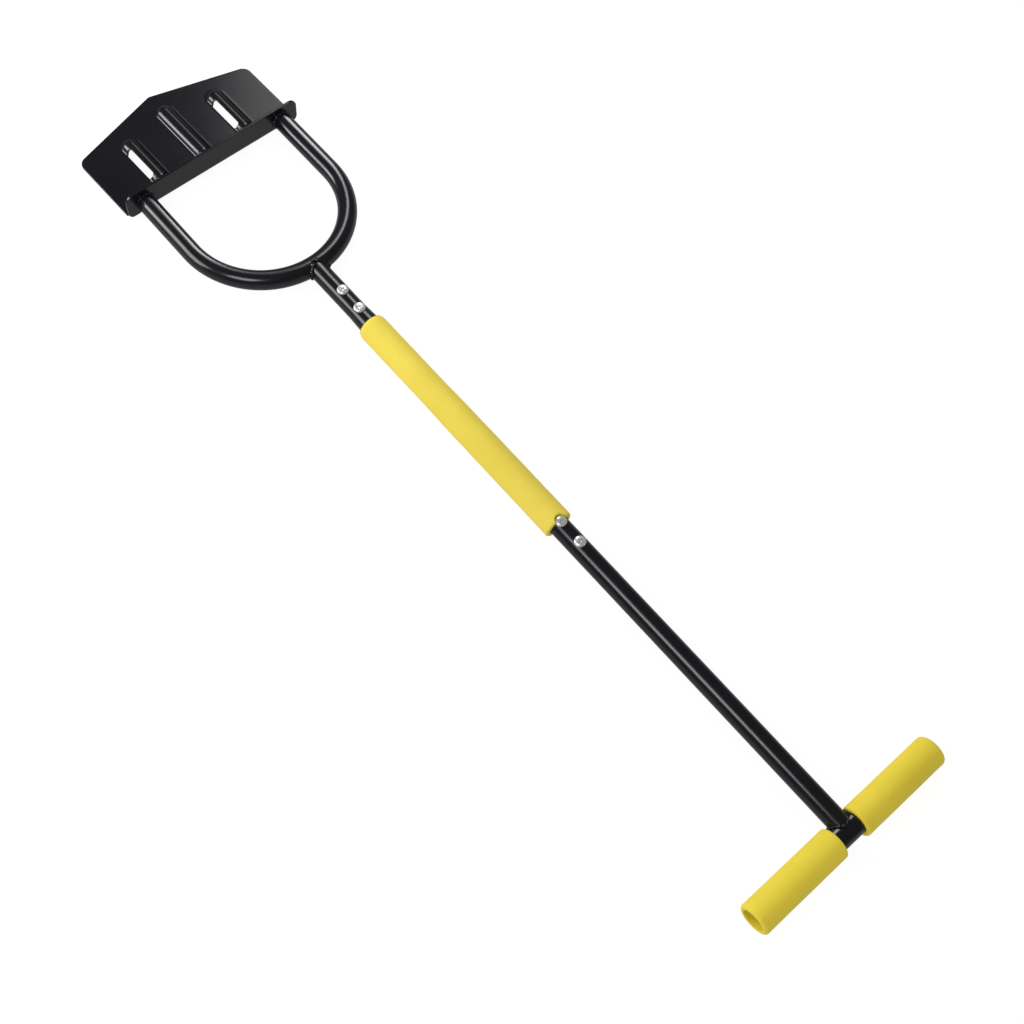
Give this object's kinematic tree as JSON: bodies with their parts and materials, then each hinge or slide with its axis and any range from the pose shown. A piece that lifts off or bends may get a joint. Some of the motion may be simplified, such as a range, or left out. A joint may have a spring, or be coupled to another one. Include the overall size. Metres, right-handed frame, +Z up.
{
  "type": "step edger",
  "caption": "Foot-driven lawn edger: a pointed, ribbed blade with a folded foot step, welded to a D-shaped tube yoke on a long screwed shaft with a T handle and foam grips.",
  "frame": {"origin": "On the floor under the middle of the bounding box, with the tool lying on its back, ribs and step upwards.", "axes": "+X along the shaft from the T handle to the tip of the blade, +Y along the T handle, +Z up out of the ribbed face of the blade."},
  "size_m": [0.993, 0.2174, 0.0318],
  "materials": {
    "powder_coat": "gloss black powder coat",
    "foam": "matte closed-cell foam",
    "zinc": "bright zinc plating"
  },
  "bodies": {
    "root": {"blade": "powder_coat", "yoke_tube": "powder_coat", "socket_tube": "powder_coat", "mid_tube": "powder_coat", "handle_tube": "powder_coat", "cross_tube": "powder_coat", "mid_grip": "foam", "left_grip": "foam", "right_grip": "foam", "socket_screw_front": "zinc", "socket_screw_rear": "zinc", "handle_screw_front": "zinc", "handle_screw_rear": "zinc", "socket_nut_front": "zinc", "socket_nut_rear": "zinc", "handle_nut_front": "zinc", "handle_nut_rear": "zinc", "left_leg_weld": "powder_coat", "right_leg_weld": "powder_coat", "socket_weld": "powder_coat", "handle_weld": "powder_coat"}
  },
  "joints": []
}
